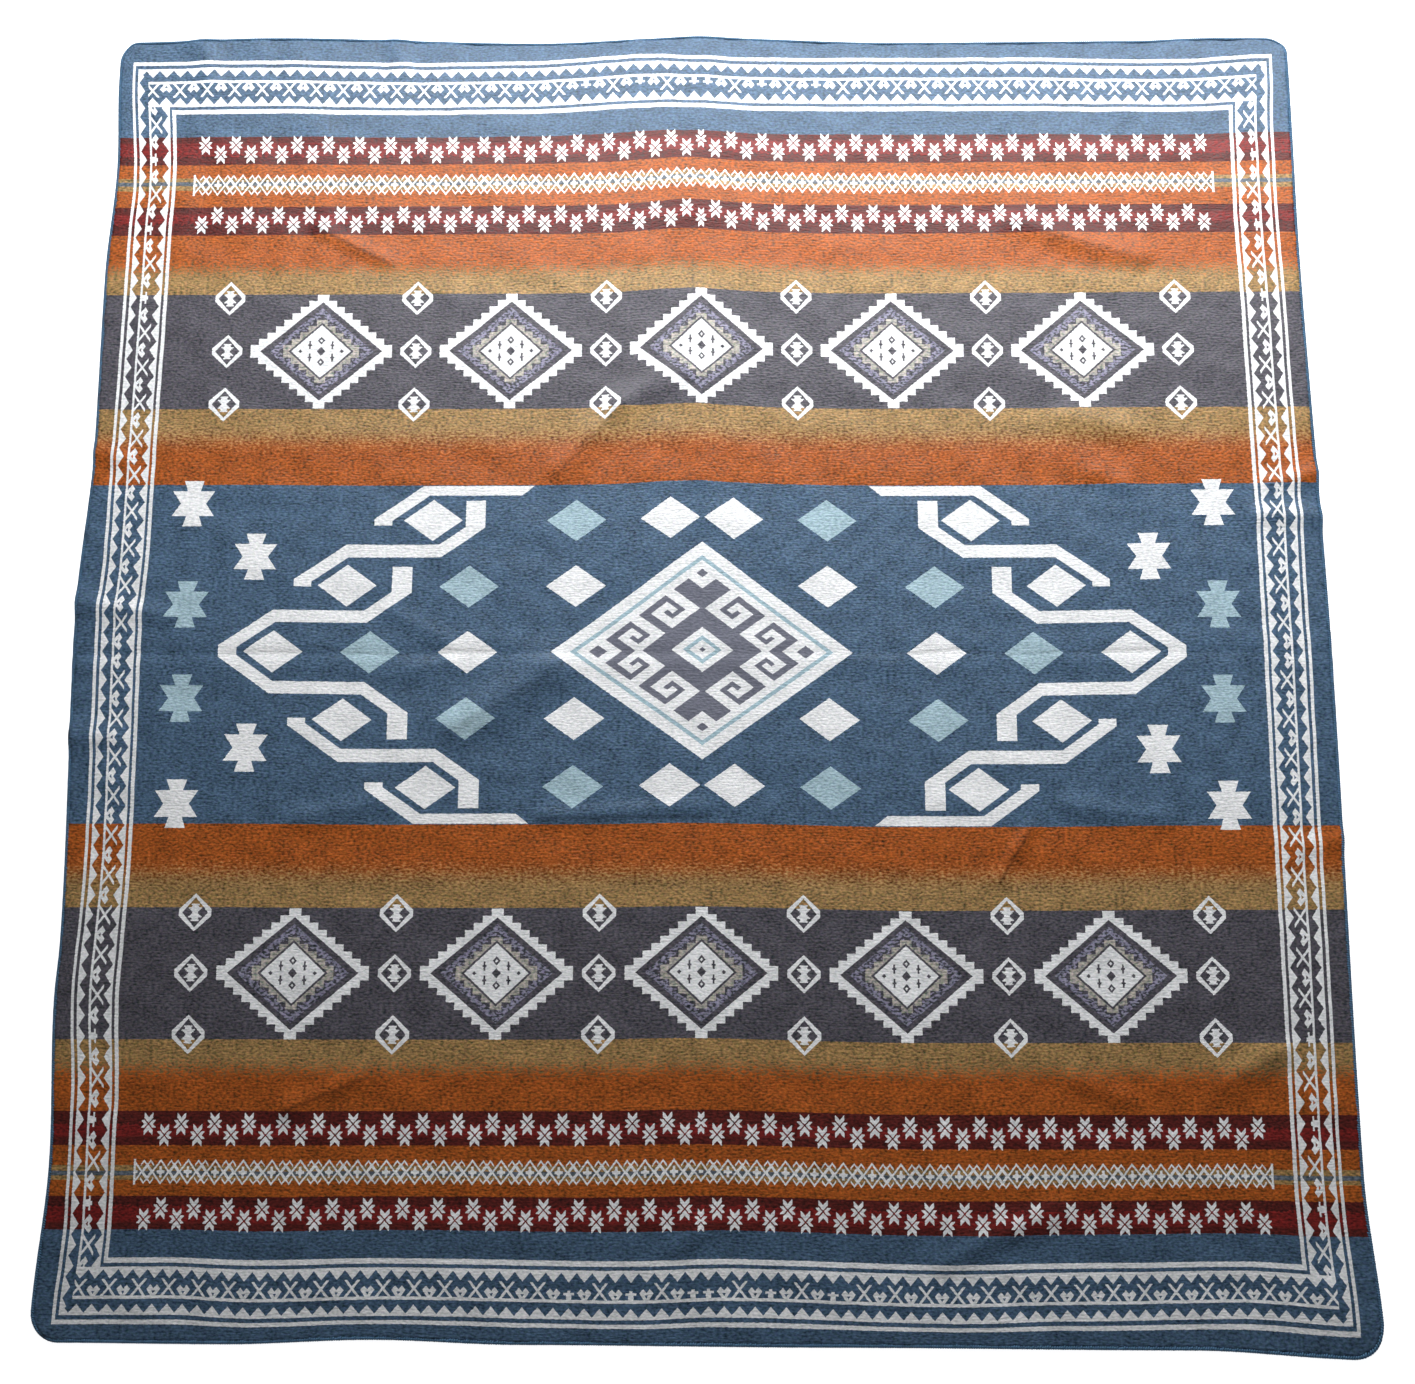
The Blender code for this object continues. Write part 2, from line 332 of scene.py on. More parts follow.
class StageSettings(bpy.types.PropertyGroup):
    """Floor and lights."""

    floor_size: metres("Floor size", "Side of the floor", 14.0)
    window_power: FloatProperty(
        name="Window power", description="Strength of the soft light", default=101.0, unit="POWER"
    )
    fill_strength: FloatProperty(name="Fill", description="Strength of the even light", default=0.115)


def ease(share):
    """A smooth step from 0 to 1."""
    share = np.clip(share, 0.0, 1.0)
    return share * share * (3.0 - 2.0 * share)


def comes(value, start, run):
    """0 up to the start, then eased to 1 over the run."""
    return ease((value - start) / run)


def bell(distance, reach):
    """A bell that is 1 in its middle."""
    return np.exp(-((distance / reach) ** 2))


def round_corner(x, y):
    """Draw the square corners of the grid onto a quarter circle."""
    reach_y = np.where(y > 0.0, HEAD_REACH, FOOT_REACH) - CORNER_RADIUS
    over_x = np.abs(x) - (WIDTH / 2 - CORNER_RADIUS)
    over_y = np.abs(y) - reach_y
    cornered = (over_x > 0.0) & (over_y > 0.0)
    safe_x = np.where(cornered, over_x, 1.0)
    safe_y = np.where(cornered, over_y, 1.0)
    shrink = np.maximum(safe_x, safe_y) / np.hypot(safe_x, safe_y)
    new_x = np.copysign(WIDTH / 2 - CORNER_RADIUS + safe_x * shrink, x)
    new_y = np.copysign(reach_y + safe_y * shrink, y)
    return np.where(cornered, new_x, x), np.where(cornered, new_y, y)


def wave_at(waves, along):
    """How far out an edge reaches, eased from one pair of its table to the next."""
    out = np.full_like(along, waves[0][1])
    for (before, out_before), (after, out_after) in zip(waves, waves[1:]):
        share = ease((along - before) / (after - before))
        out = np.where(along > before, out_before + (out_after - out_before) * share, out)
    return out


def edge_share(distance_in):
    """How much a point follows an edge: 1 on the edge and 0 beyond the reach of the waves."""
    return ease(1.0 - distance_in / WAVE_REACH)


def side_pull(low_side, high_side, place, along, inwards):
    """How far out a point lies because of the side of the cloth that it is near."""
    edge = np.where(place > 0.0, wave_at(high_side.edge, along), wave_at(low_side.edge, along))
    threads = np.where(place > 0.0, wave_at(high_side.threads, along), wave_at(low_side.threads, along))
    within_hem = ease(1.0 - inwards / HEM)
    return np.sign(place) * (threads + (edge - threads) * within_hem) * edge_share(inwards)


def lay_threads(x, y):
    """Where a point of the flat cloth lies, within the plane of the cloth."""
    end_inwards = np.where(y > 0.0, HEAD_REACH, FOOT_REACH) - np.abs(y)
    new_x = x + side_pull(LEFT, RIGHT, x, y, WIDTH / 2 - np.abs(x))
    new_y = y + side_pull(FOOT, HEAD, y, x, end_inwards)
    lift = LIFT[0] + (LIFT[1] - LIFT[0]) * comes(y, *LIFT_FROM)
    lift = lift * bell(x - LIFT_MIDDLE, LIFT_REACH)
    drop = DROP * comes(x, *DROP_FROM) * (1.0 - DROP_TILT * np.clip(y / DROP_TILT_REACH, -1.0, 1.0))
    sag = SAG * bell(y, SAG_REACH) * (1.0 - comes(np.abs(x), *SAG_TO))
    inward = np.sign(y) * ENDS_INWARD * comes(np.abs(y), *ENDS_INWARD_FROM)
    aside = ASIDE * comes(x, *ASIDE_FROM) * (1.0 - comes(x, *ASIDE_TO)) * bell(y, ASIDE_REACH)
    return new_x + aside, new_y + (lift - drop - sag - inward) * (1.0 - edge_share(end_inwards))


def along_crease(crease, x, y):
    """How far a point lies across a crease, and how far past its two ends."""
    run_x = crease.end[0] - crease.start[0]
    run_y = crease.end[1] - crease.start[1]
    length = math.hypot(run_x, run_y)
    along = ((x - crease.start[0]) * run_x + (y - crease.start[1]) * run_y) / length
    across = ((x - crease.start[0]) * run_y - (y - crease.start[1]) * run_x) / length
    return across, np.maximum(np.maximum(-along, along - length), 0.0)


def crease_height(crease, x, y):
    """The height of one crease: a bell across it, which dies away past its two ends."""
    across, past = along_crease(crease, x, y)
    return crease.height * bell(across, crease.reach) * bell(past, crease.reach)


def painted_crease_shades(x, y):
    """How far each point lies from the nearest line of painted crease shade, in half widths of it, and that
    line's strength.
    """
    nearest = np.full_like(x, NO_LINE)
    strongest = np.zeros_like(x)
    for crease in CREASES:
        across, past = along_crease(crease, x, y)
        footwards = math.copysign(1.0, crease.end[0] - crease.start[0])
        from_shade_line = (across * footwards / crease.reach - SHADED_SIDE) / LINE_HALF
        strength = crease.dark * bell(from_shade_line, LINE_GIVES_WAY) * bell(past, crease.reach)
        nearest = np.where(strength > strongest, from_shade_line, nearest)
        strongest = np.maximum(strength, strongest)
    return nearest, strongest


def height_at(x, y):
    """How high the underside of the cloth lies at a point."""
    share = ease(x / WIDTH + 0.5)
    fold = MIDDLE_FOLD_LEFT + (MIDDLE_FOLD_RIGHT - MIDDLE_FOLD_LEFT) * share
    away = np.abs(y - MIDDLE_FOLD_Y) / MIDDLE_FOLD_SHOULDER
    height = fold * away * np.exp(0.5 - 0.5 * away * away)
    for crease in CREASES:
        height = height + crease_height(crease, x, y)
    return np.maximum(height - LIE_FLAT, 0.0)


def swell_at(x, y, amount):
    """The slight unevenness of thick cloth: a few crossed waves, the same each time."""
    dice = np.random.default_rng(SWELL_SEED)
    total = np.zeros_like(x)
    for _ in range(SWELL_WAVES):
        turn = dice.uniform(0.0, math.tau)
        length = dice.uniform(*SWELL_LENGTHS)
        phase = dice.uniform(0.0, math.tau)
        total += np.sin((x * math.cos(turn) + y * math.sin(turn)) * math.tau / length + phase)
    return amount * total / math.sqrt(SWELL_WAVES)


def lie(flat_x, flat_y, above=0.0, swell=0.0):
    """The place in space of points of the flat cloth, with above measured up from the underside."""
    x, y = lay_threads(flat_x, flat_y)
    z = height_at(x, y) + above
    if swell:
        z = z + swell_at(flat_x, flat_y, swell) * ease(above / THICKNESS)
    return np.stack([x, y, z], axis=-1)


def grid_lines(low, high, steps, middle=None):
    """Grid lines from low to high, closer together beside a middle fold."""
    even = np.linspace(low, high, steps + 1)
    if middle is None:
        return even
    off = even - middle
    return even - FOLD_PULL * bell(off, FOLD_PULL_REACH) * np.tanh(off / FOLD_PULL_CORE)


def centre_shift():
    """What moves the middle of the laid outline over the middle of the frame's box."""
    across = np.linspace(-WIDTH / 2, WIDTH / 2, OUTLINE_POINTS)
    along = np.linspace(-FOOT_REACH, HEAD_REACH, OUTLINE_POINTS)
    edges = [(across, np.full_like(across, end)) for end in (HEAD_REACH, -FOOT_REACH)]
    edges += [(np.full_like(along, side), along) for side in (WIDTH / 2, -WIDTH / 2)]
    outline = np.concatenate([lie(*round_corner(*edge)) for edge in edges])
    middle = (outline.min(axis=0) + outline.max(axis=0)) / 2
    box_middle = (np.array(CAD_BOX[0]) + np.array(CAD_BOX[1])) / 2
    return np.array([box_middle[0] - middle[0], box_middle[1] - middle[1], CAD_BOX[0][2]])


SHIFT = centre_shift()


def mesh_object(name, points, faces):
    """A new object with the given points and faces, shaded smooth, its origin at the frame's origin."""
    mesh = bpy.data.meshes.new(name)
    mesh.from_pydata(points.tolist(), [], faces)
    mesh.validate()
    mesh.shade_smooth()
    made = bpy.data.objects.new(name, mesh)
    bpy.context.scene.collection.objects.link(made)
    return made


def weave_cloth(sizes):
    """The closed sheet: a fine upper grid, a coarser underside, and a rim that joins them."""
    step = sizes.coarse
    columns = sizes.columns // step * step
    rows = sizes.rows // step * step
    lines_x = grid_lines(-WIDTH / 2, WIDTH / 2, columns)
    lines_y = grid_lines(-FOOT_REACH, HEAD_REACH, rows, MIDDLE_FOLD_Y)
    grid_x, grid_y = np.meshgrid(lines_x, lines_y)
    flat_x, flat_y = round_corner(grid_x, grid_y)
    upper = lie(flat_x, flat_y, THICKNESS, sizes.swell)
    under = lie(flat_x[::step, ::step], flat_y[::step, ::step])

    upper_at = np.arange((rows + 1) * (columns + 1)).reshape(rows + 1, columns + 1)
    under_at = upper_at.size + np.arange(under.shape[0] * under.shape[1]).reshape(under.shape[:2])
    faces = quads(upper_at) + [face[::-1] for face in quads(under_at)]
    rims = (
        (upper_at[0], under_at[0]),
        (upper_at[:, -1], under_at[:, -1]),
        (upper_at[-1, ::-1], under_at[-1, ::-1]),
        (upper_at[::-1, 0], under_at[::-1, 0]),
    )
    for over, below in rims:
        for k in range(len(below) - 1):
            lip = over[k * step : (k + 1) * step + 1][::-1].tolist()
            faces.append([int(below[k]), int(below[k + 1])] + lip)

    points = np.concatenate([upper.reshape(-1, 3), under.reshape(-1, 3)]) + SHIFT
    cloth = mesh_object("blanket_cloth", points, faces)
    add_layer(cloth, "flat_place", (flat_x, flat_y), step)
    # Each point also keeps its distance to the nearest line of painted crease shade, and how dark that shade
    # is.
    add_layer(cloth, "painted_crease_shade", painted_crease_shades(*lay_threads(flat_x, flat_y)), step)
    return cloth


def add_layer(cloth, name, readings, step):
    """Store two readings of the upper grid with each point of the cloth, the underside's included."""
    values = np.zeros((len(cloth.data.vertices), 3), dtype=np.float32)
    for axis, reading in enumerate(readings):
        values[:, axis] = np.concatenate([reading.ravel(), reading[::step, ::step].ravel()])
    layer = cloth.data.attributes.new(name, "FLOAT_VECTOR", "POINT")
    layer.data.foreach_set("vector", values.ravel())


def quads(at):
    """The four-sided faces of a grid of point numbers."""
    return np.stack([at[:-1, :-1], at[:-1, 1:], at[1:, 1:], at[1:, :-1]], axis=-1).reshape(-1, 4).tolist()


def edge_walk(pitch):
    """Places round the flat outline with the direction inwards at each, a pitch apart."""
    half = WIDTH / 2
    radius = CORNER_RADIUS
    corners = (
        (half - radius, HEAD_REACH - radius, 90.0),
        (-half + radius, HEAD_REACH - radius, 180.0),
        (-half + radius, -FOOT_REACH + radius, 270.0),
        (half - radius, -FOOT_REACH + radius, 360.0),
    )
    places = []
    for (x, y, turn), (next_x, next_y, _) in zip(corners, corners[1:] + corners[:1]):
        bend = max(2, round(math.pi / 2 * radius / pitch))
        for k in range(bend):
            angle = math.radians(turn - 90.0 + 90.0 * k / bend)
            outward = (math.cos(angle), math.sin(angle))
            places.append((x + radius * outward[0], y + radius * outward[1], -outward[0], -outward[1]))
        outward = (math.cos(math.radians(turn)), math.sin(math.radians(turn)))
        run = math.hypot(next_x - x, next_y - y)
        count = max(1, round(run / pitch))
        for k in range(count):
            share = k / count
            px = x + (next_x - x) * share + radius * outward[0]
            py = y + (next_y - y) * share + radius * outward[1]
            places.append((px, py, -outward[0], -outward[1]))
    return np.array(places)


def overcast_edge(sizes):
    """Yarn stitched over the edge: flattened loops, each from the upper face round to the underside."""
    walk = edge_walk(sizes.stitch_pitch)
    dice = np.random.default_rng(LOOP_SEED)
    reach = sizes.stitch_depth * (1.0 + LOOP_UNEVEN * dice.standard_normal(len(walk)).clip(-2, 2))
    angles = np.arange(LOOP_SIDES) * math.tau / LOOP_SIDES
    last = len(LOOP_BENDS) - 1
    rings = []
    for number, (share, height, slant) in enumerate(LOOP_BENDS):
        before = LOOP_BENDS[max(number - 1, 0)]
        after = LOOP_BENDS[min(number + 1, last)]
        run_in = (after[0] - before[0]) * sizes.stitch_depth
        run_up = after[1] - before[1]
        length = math.hypot(run_in, run_up)
        narrow = LOOP_END_SHARE if number in (0, last) else 1.0
        ring = []
        for angle in angles:
            aside = (math.cos(angle) * LOOP_HALF_WIDE * narrow + slant) * sizes.stitch_pitch
            proud = math.sin(angle) * LOOP_HALF_THICK * narrow
            inwards = share * reach - proud * run_up / length
            flat_x = walk[:, 0] + walk[:, 2] * inwards - walk[:, 3] * aside
            flat_y = walk[:, 1] + walk[:, 3] * inwards + walk[:, 2] * aside
            point = lie(flat_x, flat_y)
            point[:, 2] = np.maximum(point[:, 2] + height + proud * run_in / length, LOOP_CLEARANCE)
            ring.append(point)
        rings.append(np.stack(ring, axis=1))
    points = np.stack(rings, axis=1) + SHIFT

    per_loop = len(LOOP_BENDS) * LOOP_SIDES
    faces = []
    for start in range(0, len(walk) * per_loop, per_loop):
        for low in range(start, start + last * LOOP_SIDES, LOOP_SIDES):
            high = low + LOOP_SIDES
            for k in range(LOOP_SIDES):
                after = (k + 1) % LOOP_SIDES
                faces.append([low + k, low + after, high + after, high + k])
        faces.append([start + k for k in reversed(range(LOOP_SIDES))])
        faces.append([start + per_loop - LOOP_SIDES + k for k in range(LOOP_SIDES)])
    stitches = mesh_object("edge_stitches", points.reshape(-1, 3), faces)
    face_out(stitches)
    return stitches


def face_out(piece):
    """Turn every face of a piece outwards."""
    bpy.ops.object.select_all(action="DESELECT")
    bpy.context.view_layer.objects.active = piece
    piece.select_set(True)
    bpy.ops.object.mode_set(mode="EDIT")
    bpy.ops.mesh.select_all(action="SELECT")
    bpy.ops.mesh.normals_make_consistent(inside=False)
    bpy.ops.object.mode_set(mode="OBJECT")
    piece.select_set(False)


# Nodes stand in rows of this many, this far apart
NODES_A_ROW = 14
NODE_APART = (190, -210)

# A ramp of steps runs on a little beyond its first and last edge, as a share of its run
STAIRS_SPARE = 0.05


class Reading:
    """A number that changes over the cloth: the output of a shader node, used in plain formulas."""

    def __init__(self, tree, socket):
        self.tree = tree
        self.socket = socket

    def math(self, operation, *others):
        return worked_out(self.tree, "ShaderNodeMath", (self, *others), operation=operation)

    def vector(self, operation, *others, output="Vector"):
        """The same for a reading that is a place or a colour."""
        return worked_out(self.tree, "ShaderNodeVectorMath", (self, *others), output, operation=operation)

    def __add__(self, other):
        return self.math("ADD", other)

    def __sub__(self, other):
        return self.math("SUBTRACT", other)

    def __mul__(self, other):
        return self.math("MULTIPLY", other)

    def line(self, slope, start):
        """The height of a straight line at this reading."""
        return self.math("MULTIPLY_ADD", slope, start)

    def size(self):
        return self.math("ABSOLUTE")

    def floor(self):
        return self.math("FLOOR")

    def fold(self, half):
        """How far it is to the nearest multiple of twice the half."""
        return self.math("PINGPONG", half)

    def below(self, limit):
        return self.math("LESS_THAN", limit)

    def above(self, limit):
        return self.math("GREATER_THAN", limit)

    def both(self, other):
        return self.math("MINIMUM", other)

    def either(self, other):
        return self.math("MAXIMUM", other)

    def without(self, other):
        """This mask where the other is empty."""
        return self.both(other.line(-1.0, 1.0))

    def pick(self, where, other):
        """This reading where the mask is empty, and the other where it is full."""
        node = add_node(self.tree, "ShaderNodeMix", data_type="FLOAT")
        connect(self.tree, where, node.inputs["Factor"])
        connect(self.tree, self, node.inputs["A"])
        connect(self.tree, other, node.inputs["B"])
        return Reading(self.tree, node.outputs["Result"])


def add_node(tree, kind, **settings):
    """A new node, laid out in rows of a readable length."""
    node = tree.nodes.new(kind)
    count = len(tree.nodes)
    node.location = (NODE_APART[0] * (count % NODES_A_ROW), NODE_APART[1] * (count // NODES_A_ROW))
    for name, value in settings.items():
        setattr(node, name, value)
    return node


def connect(tree, value, port):
    """Feed a node's input from a reading or with a plain value."""
    if isinstance(value, Reading):
        tree.links.new(value.socket, port)
    else:
        port.default_value = value


def worked_out(tree, kind, values, output=0, **settings):
    """The output of a new node whose inputs are fed in their order."""
    node = add_node(tree, kind, **settings)
    for port, value in zip(node.inputs, values):
        connect(tree, value, port)
    return Reading(tree, node.outputs[output])


def paint(tree, under, over, where):
    """One colour laid over another where a mask is full."""
    node = add_node(tree, "ShaderNodeMix", data_type="RGBA")
    connect(tree, where, node.inputs[0])
    connect(tree, under, node.inputs[6])
    connect(tree, over, node.inputs[7])
    return Reading(tree, node.outputs[2])


def pair(x, y):
    """A flat place from its two readings."""
    return worked_out(x.tree, "ShaderNodeCombineXYZ", (x, y))


def split(place):
    """The two readings of a flat place."""
    node = add_node(place.tree, "ShaderNodeSeparateXYZ")
    connect(place.tree, place, node.inputs[0])
    return Reading(place.tree, node.outputs[0]), Reading(place.tree, node.outputs[1])


def from_centre(place, centre):
    """How far a place lies from a centre, across and along, without signs."""
    return place.vector("SUBTRACT", (*centre, 0.0)).vector("ABSOLUTE")


def diamond(offset, half):
    """The size of the diamond that a place lies on: 1 on the outline of the given half width and height."""
    return offset.vector("DOT_PRODUCT", (1.0 / half[0], 1.0 / half[1], 0.0), output="Value")


def box(p, q, half):
    """A mask of the box with the given half width and height, from unsigned distances to its middle."""
    return p.below(half[0]).both(q.below(half[1]))


def between(reading, low, high):
    """A mask of where a reading lies between two values."""
    return (reading - (low + high) / 2).size().below((high - low) / 2)


def stairs(reading, edges, values):
    """A reading turned into steps: each value holds from its edge to the next, and 0 outside them all."""
    spare = (edges[-1] - edges[0]) * STAIRS_SPARE
    low = edges[0] - spare
    run = edges[-1] + spare - low
    node = add_node(reading.tree, "ShaderNodeValToRGB")
    ramp = node.color_ramp
    ramp.interpolation = "CONSTANT"
    while len(ramp.elements) > 1:
        ramp.elements.remove(ramp.elements[-1])
    ramp.elements[0].position = 0.0
    ramp.elements[0].color = (0.0, 0.0, 0.0, 1.0)
    for edge, value in zip(edges, (*values, 0.0)):
        step = ramp.elements.new((edge - low) / run)
        step.color = (value, value, value, 1.0)
    connect(reading.tree, reading.line(1.0 / run, -low / run), node.inputs[0])
    return Reading(reading.tree, node.outputs[0])


def chart_columns(reading, edges):
    """The column of a chart that a reading lies in, as a power of two, or 0 outside the chart."""
    count = len(edges) - 1
    return stairs(reading, edges, [2.0 ** (k - count) for k in range(count)]) * 2.0**count


def chart(column, reading, edges, rows):
    """A mask given as a chart. Each row is a text with a # for each full cell, from its first column on."""
    count = len(rows[0])
    values = []
    for row in rows:
        filled = sum(2.0 ** -(k + 1) for k, cell in enumerate(row) if cell == "#")
        values.append(filled + 2.0 ** -(count + 2))
    value = stairs(reading, edges, values)
    return (value * column).math("FRACT").above(0.5)


def new_group(name, draw, inputs, outputs):
    """A shader node group. Its draw function takes a reading for each input and gives one for each output."""
    tree = bpy.data.node_groups.new(name, "ShaderNodeTree")
    for side, sockets in (("INPUT", inputs), ("OUTPUT", outputs)):
        for socket, kind in sockets.items():
            tree.interface.new_socket(name=socket, in_out=side, socket_type=kind)
    start = add_node(tree, "NodeGroupInput")
    end = add_node(tree, "NodeGroupOutput")
    drawn = draw(*(Reading(tree, start.outputs[socket]) for socket in inputs))
    for socket, reading in zip(outputs, drawn):
        connect(tree, reading, end.inputs[socket])
    return tree


def use_group(tree, group, **values):
    """Place a group in a tree, fed by name, and give its outputs as readings."""
    node = add_node(tree, "ShaderNodeGroup", node_tree=group)
    node.label = group.name
    for name, value in values.items():
        connect(tree, value, node.inputs[name])
    return {output.name: Reading(tree, output) for output in node.outputs}


def draw_stripes(place, blur, *dyes):
    """The ground: stripes across the whole cloth, some fading into the next."""
    yarns = dict(zip(GROUND_DYES, dyes))
    _, along = split(place)
    ground = yarns["Blue"]
    for stripe in STRIPES:
        if stripe.fade > RAGGED_AT_MOST:
            mottled = along + blur * (stripe.fade * 0.5)
            within = mottled.line(-1.0 / stripe.fade, stripe.start / stripe.fade + 0.5)
            within = within.math("SMOOTH_MIN", 1.0, ROUNDED_ENDS).math("SMOOTH_MAX", 0.0, ROUNDED_ENDS)
        elif stripe.fade > 0.0:
            within = (along + blur * stripe.fade).below(stripe.start)
        else:
            within = along.below(stripe.start)
        ground = paint(place.tree, ground, yarns[stripe.colour], within)
    return (ground,)


# Star bands: two bands, either side of the chain's middle line, whose stars step in and out. A star has two
# upright tulips and two lying ones, parted by a dark cross.
CHAIN_LINE = 842.4
STAR_FIRST = 25.4
STAR_PITCH = 27.75
STAR_NEAR = 57.0
STAR_FAR = 74.3
STAR_BAND_END = 899.0
CROSS_SLOPE = 1.1
CROSS_HALF = 1.5
UPRIGHT_TULIP = (7.4, 17.0)
LYING_TULIP = (11.8, 6.0)
UPRIGHT_NOTCH = 10.0
LYING_NOTCH = 7.2


def draw_stars(place):
    """Stars of eight points."""
    across, along = split(place)
    from_first = across - STAR_FIRST
    odd = from_first.fold(STAR_PITCH).above(STAR_PITCH / 2)
    beside_chain = (along - CHAIN_LINE).size()
    p = from_first.fold(STAR_PITCH / 2)
    q = (beside_chain - odd.line(STAR_FAR - STAR_NEAR, STAR_NEAR)).size()
    tilt = p.math("MULTIPLY_ADD", -CROSS_SLOPE, q)
    upright = between(tilt, CROSS_HALF, UPRIGHT_NOTCH).both(box(p, q, UPRIGHT_TULIP))
    lying = tilt.below(-CROSS_HALF).both((p - q).below(LYING_NOTCH)).both(box(p, q, LYING_TULIP))
    return (upright.either(lying).both(across.below(STAR_BAND_END)),)


# The chain: crossing slanted lines make lozenges with a small flower, and knots with hooks between them
CHAIN_FIRST = 42.5
CHAIN_PITCH = 45.47
CHAIN_END = 906.6
CHAIN_STOP = 3.6
CHAIN_SLOPE = 1.3
CHAIN_TOP = 17.9
CHAIN_HALF_LINE = 2.3
CHAIN_REACH = 19.8
HOOK_TOP = (17.2, 17.2)
HOOK_RUN = (11.5, 17.5)
HOOK_LINE = 5.16
HOOK_HALF_LINE = 1.9
KNOT_OUTSIDE = -16.2
KNOT_INSIDE = -22.6
FLOWER_UPRIGHT = (1.9, 8.8)
FLOWER_LYING = (6.5, 2.2)
FLOWER_HEART = 5.8


def draw_chain(place):
    """Lozenges with a flower, joined by knots with hooks."""
    across, along = split(place)
    p = (across - CHAIN_FIRST).fold(CHAIN_PITCH / 2)
    q = (along - CHAIN_LINE).size()
    first = (q - p.line(CHAIN_SLOPE, -CHAIN_TOP).size()).size().below(CHAIN_HALF_LINE)
    rise = p.math("MULTIPLY_ADD", CHAIN_SLOPE, q)
    second = (rise - (HOOK_TOP[1] + CHAIN_SLOPE * HOOK_TOP[0])).size().below(HOOK_HALF_LINE)
    second = second.both(p.above(HOOK_TOP[0]))
    tilt = p.math("MULTIPLY_ADD", -CHAIN_SLOPE, q)
    hook = (tilt + HOOK_LINE).size().below(HOOK_HALF_LINE).both(between(p, *HOOK_RUN))
    knot = between(tilt, KNOT_INSIDE, KNOT_OUTSIDE)
    flower = box(p, q, FLOWER_UPRIGHT).either(box(p, q, FLOWER_LYING)).either((p + q).below(FLOWER_HEART))
    stop = between(across, CHAIN_END - CHAIN_STOP, CHAIN_END)
    mask = first.either(second).either(hook).either(knot).either(flower).either(stop)
    return (mask.both(box(across, q, (CHAIN_END, CHAIN_REACH))),)


# The border: its outer lines, how deep its parts lie from its outside at the two ends, and the pitch of
# its figures. Along the sides the same parts are drawn closer.
BORDER_OUTER = (1017.0, 1076.0)
BORDER_DEEP = 100.5
BORDER_SIDE_DEEP = 78.0
BORDER_PITCH = (24.2, 32.4)
LINE_END = 6.7
GAP_END = 13.4
OUTER_VALLEY = 16.9
OUTER_POINT = 30.2
MITRE_END = 34.0
THIN_LINE = (37.8, 42.6)
INNER_POINT = 68.4
INNER_VALLEY = 82.6
INNER_GAP = 86.4
INNER_LINE = 92.3

# Its figures stand on the thin line: heights in millimetres, widths in halves of the pitch
SALTIRE = (12.3, 0.067, 0.20, 25.4)
HEART_TOP = 16.2
HEART_NOTCH = (10.6, 13.8)
HEART_FLARE = (0.059, 0.33)
HEART_TAPER = (-0.076, 1.68)
HEART_HOLE = (2.5, 20.0, 7.2)
BUD_STEM = (0.34, 8.0)
BUD_ARMS = (0.70, 8.6, 1.8)
BUD_TIP = (0.20, 13.6)
PLAIN_ENDS = 8.5
SIDE_PLAIN = (19.5, 28.5)


def draw_border(place):
    """The border: lines, two rows of triangles, and a row of small figures that stand on a thin line."""
    across, along = split(place)
    end_depth = along.line(-1.0, BORDER_OUTER[1])
    side_stretch = BORDER_DEEP / BORDER_SIDE_DEEP
    side_depth = across.line(-side_stretch, BORDER_OUTER[0] * side_stretch)
    nearest = end_depth.both(side_depth)
    mitred = (side_depth - end_depth).below(0.0).both(side_depth.below(MITRE_END))
    sideways = mitred.either(end_depth.above(INNER_GAP))
    depth = end_depth.pick(sideways, side_depth)
    figure = (across * (1.0 / BORDER_PITCH[0])).pick(sideways, along * (1.0 / BORDER_PITCH[1]))
    aside = (figure - 0.5).fold(0.5) * 2.0

    lines = nearest.below(LINE_END).either(nearest.above(INNER_LINE))
    gaps = between(nearest, LINE_END, GAP_END).either(between(nearest, INNER_GAP, INNER_LINE))
    outer = (depth - aside.line(OUTER_VALLEY - OUTER_POINT, OUTER_POINT)).below(0.0)
    inner = (depth - aside.line(INNER_VALLEY - INNER_POINT, INNER_POINT)).above(0.0)
    thin = between(depth, *THIN_LINE)

    height = depth - THIN_LINE[1]
    middle, slope, half_wide, top = SALTIRE
    saltire = (aside - (height - middle).size() * slope).size().below(half_wide).both(height.below(top))
    heart = (height - aside.line(HEART_NOTCH[1], HEART_NOTCH[0])).below(0.0).both(height.below(HEART_TOP))
    cheek = height.line(*HEART_FLARE).both(height.line(*HEART_TAPER))
    heart = heart.both((aside - cheek).below(0.0))
    hole = (height - aside.line(HEART_HOLE[1], HEART_HOLE[0])).above(0.0).both(height.below(HEART_HOLE[2]))
    heart = heart.without(hole)
    arms, middle, half_high = BUD_ARMS
    bud = box(aside, height, BUD_STEM).either(box(aside, height, BUD_TIP))
    bud = bud.either(box(aside, (height - middle).size(), (arms, half_high)))

    number = figure.floor() + sideways
    fourth = number.fold(2.0).below(0.5)
    near_middle = number.below(PLAIN_ENDS).without(sideways)
    budding = fourth.both(near_middle.either(between(number, *SIDE_PLAIN).both(sideways)))
    standing = saltire.pick(budding, bud).pick(number.fold(1.0), heart).both(height.above(0.0))

    inside = thin.either(standing).either(inner).both(side_depth.above(THIN_LINE[0] - 0.1))
    drawn = outer.either(inside).without(gaps).either(lines)
    within = nearest.above(0.0).both(nearest.below(BORDER_DEEP))
    return (drawn.both(within),)


